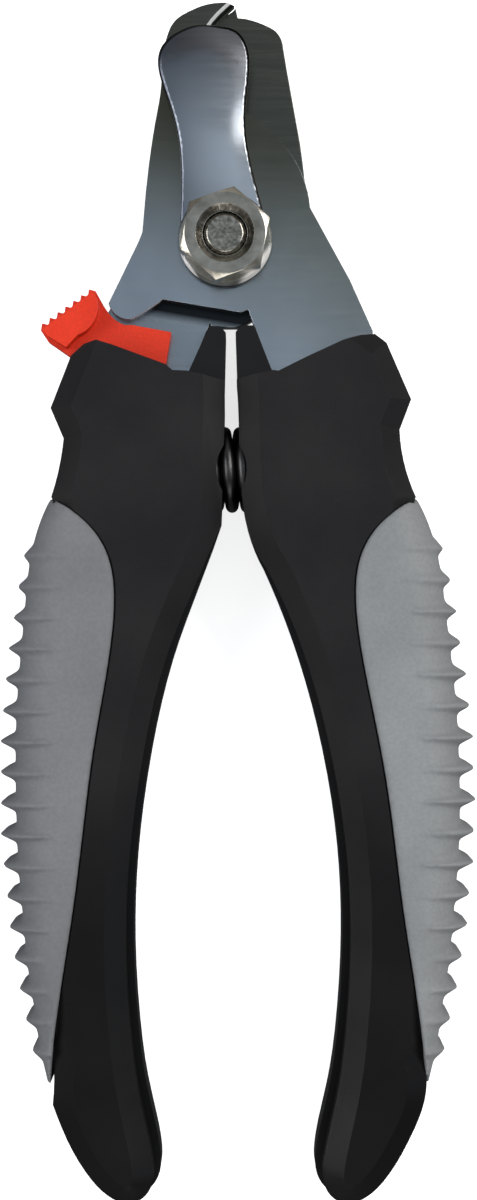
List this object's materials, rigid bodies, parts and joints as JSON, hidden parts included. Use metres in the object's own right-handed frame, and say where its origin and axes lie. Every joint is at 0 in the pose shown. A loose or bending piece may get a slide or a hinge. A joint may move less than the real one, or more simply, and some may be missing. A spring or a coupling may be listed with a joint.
{
  "type": "scissor nail clipper",
  "caption": "Plier-type pet nail clipper: two crossed steel blades on a bolt, swinging nail guard, sprung soft-grip handles and a sliding thumb lock.",
  "frame": {"origin": "bottom centre of the bounding box, jaws closed", "axes": "+Y from the handles to the jaw tips, +Z from the back faces up to the nut, +X to the right-hand handle seen from the nut side"},
  "size_m": [0.0659, 0.1662, 0.0185],
  "materials": {
    "blade_steel": "fine vertical brushing, satin",
    "guard_steel": "satin, blue-grey reflections",
    "nut_plate": "bright nickel plate",
    "bronze": "turned",
    "handle_plastic": "fine spark texture, semi-matte",
    "grip_rubber": "soft-touch, matte",
    "lock_plastic": "satin",
    "spring_steel": "black oxide"
  },
  "bodies": {
    "left_lever": {"rear_blade": "blade_steel", "left_handle_front": "handle_plastic", "left_handle_back": "handle_plastic", "left_grip": "grip_rubber", "left_handle_screws": "nut_plate", "pivot_bolt": "nut_plate", "bolt_washer": "nut_plate", "pivot_bush": "bronze", "friction_washer": "nut_plate", "flange_nut": "nut_plate", "lock_pin": "nut_plate", "lock_washer": "nut_plate", "return_spring": "spring_steel"},
    "right_lever": {"front_blade": "blade_steel", "right_handle_front": "handle_plastic", "right_handle_back": "handle_plastic", "right_grip": "grip_rubber", "right_handle_screws": "nut_plate"},
    "guard": {"nail_guard": "guard_steel"},
    "lock": {"lock_slider": "lock_plastic"}
  },
  "joints": [
    {"name": "handle_open", "type": "hinge", "parent": "left_lever", "child": "right_lever", "pos_m": [-0.0018, 0.05006, 0.0083], "axis": [0, 0, 1], "range_deg": [0, 17], "deforming": ["return_spring"]},
    {"name": "guard_swing", "type": "hinge", "parent": "left_lever", "child": "guard", "pos_m": [-0.0018, 0.05006, 0.0125], "axis": [0, 0, 1], "range_deg": [0, 50]},
    {"name": "lock_slide", "type": "slide", "parent": "left_lever", "child": "lock", "axis": [-0.821, -0.571, 0], "range_m": [0, 0.0048]}
  ],
  "couplings": [
    {"joint": "lock_slide", "follows": "handle_open", "m_per_rad": 0.01617}
  ]
}
